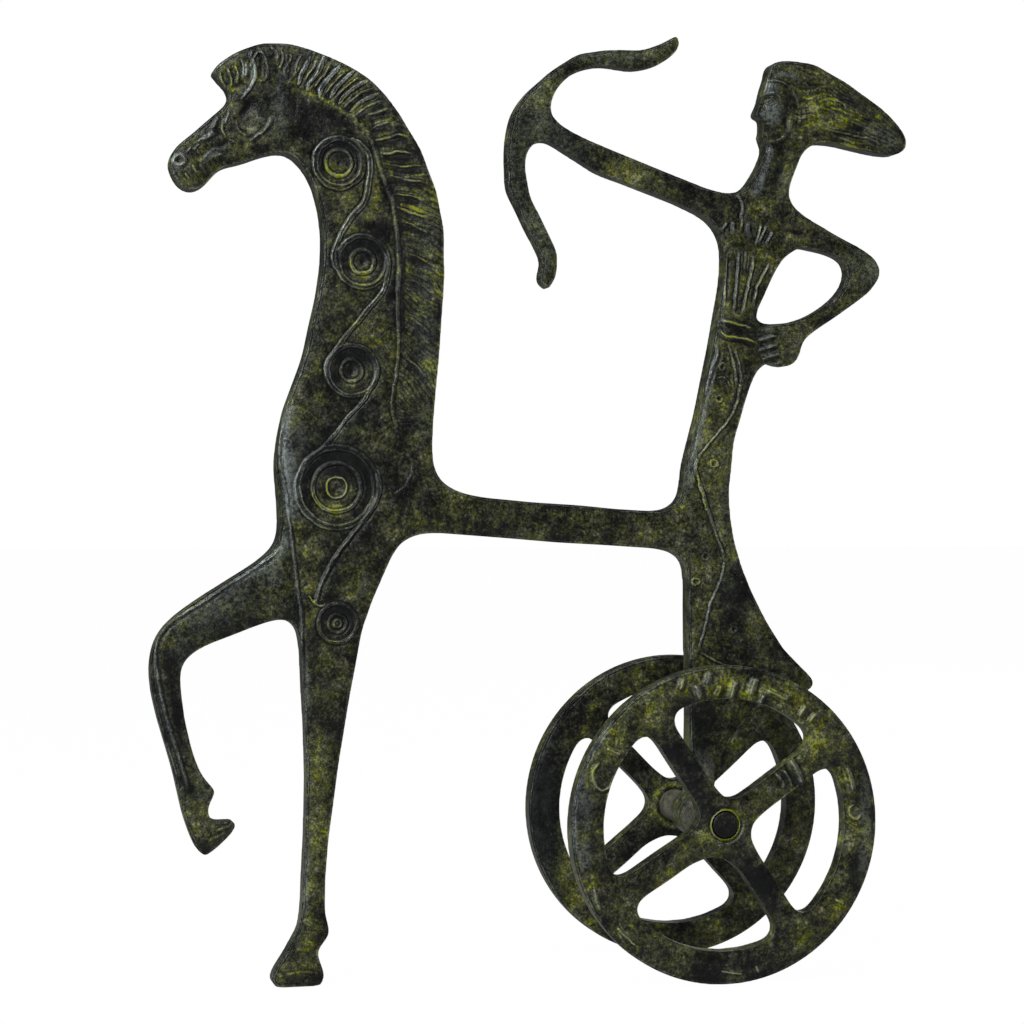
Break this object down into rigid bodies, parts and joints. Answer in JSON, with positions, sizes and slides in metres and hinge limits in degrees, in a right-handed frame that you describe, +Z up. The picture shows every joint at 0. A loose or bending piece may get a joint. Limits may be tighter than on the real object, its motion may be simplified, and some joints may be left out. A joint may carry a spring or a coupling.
{
  "type": "bronze chariot sculpture",
  "caption": "Tabletop cast bronze of a tall horse drawing a light chariot with an archer, on a pair of spoked wheels that turn.",
  "frame": {"origin": "on the ground, under the middle of the overall box", "axes": "+Z up; the horse faces -X and the archer stands towards +X; the side that shows in the picture faces -Y"},
  "size_m": [0.1997, 0.0506, 0.243],
  "materials": {
    "casting_bronze": "cast bronze with a dark green-black patina, olive mottling and rubbed bright edges",
    "wheel_bronze": "cast bronze with a dark green-black patina and yellow-green hollows"
  },
  "bodies": {
    "chariot": {"chariot_casting": "casting_bronze"},
    "near_wheel": {"wheel_near": "wheel_bronze"},
    "far_wheel": {"wheel_far": "wheel_bronze"}
  },
  "joints": [
    {"name": "near_wheel_spin", "type": "hinge", "parent": "chariot", "child": "near_wheel", "pos_m": [0.0422, -0.0222, 0.0402], "axis": [0, 1, 0], "continuous": true},
    {"name": "far_wheel_spin", "type": "hinge", "parent": "chariot", "child": "far_wheel", "pos_m": [0.0422, 0.0222, 0.0402], "axis": [0, 1, 0], "continuous": true}
  ]
}
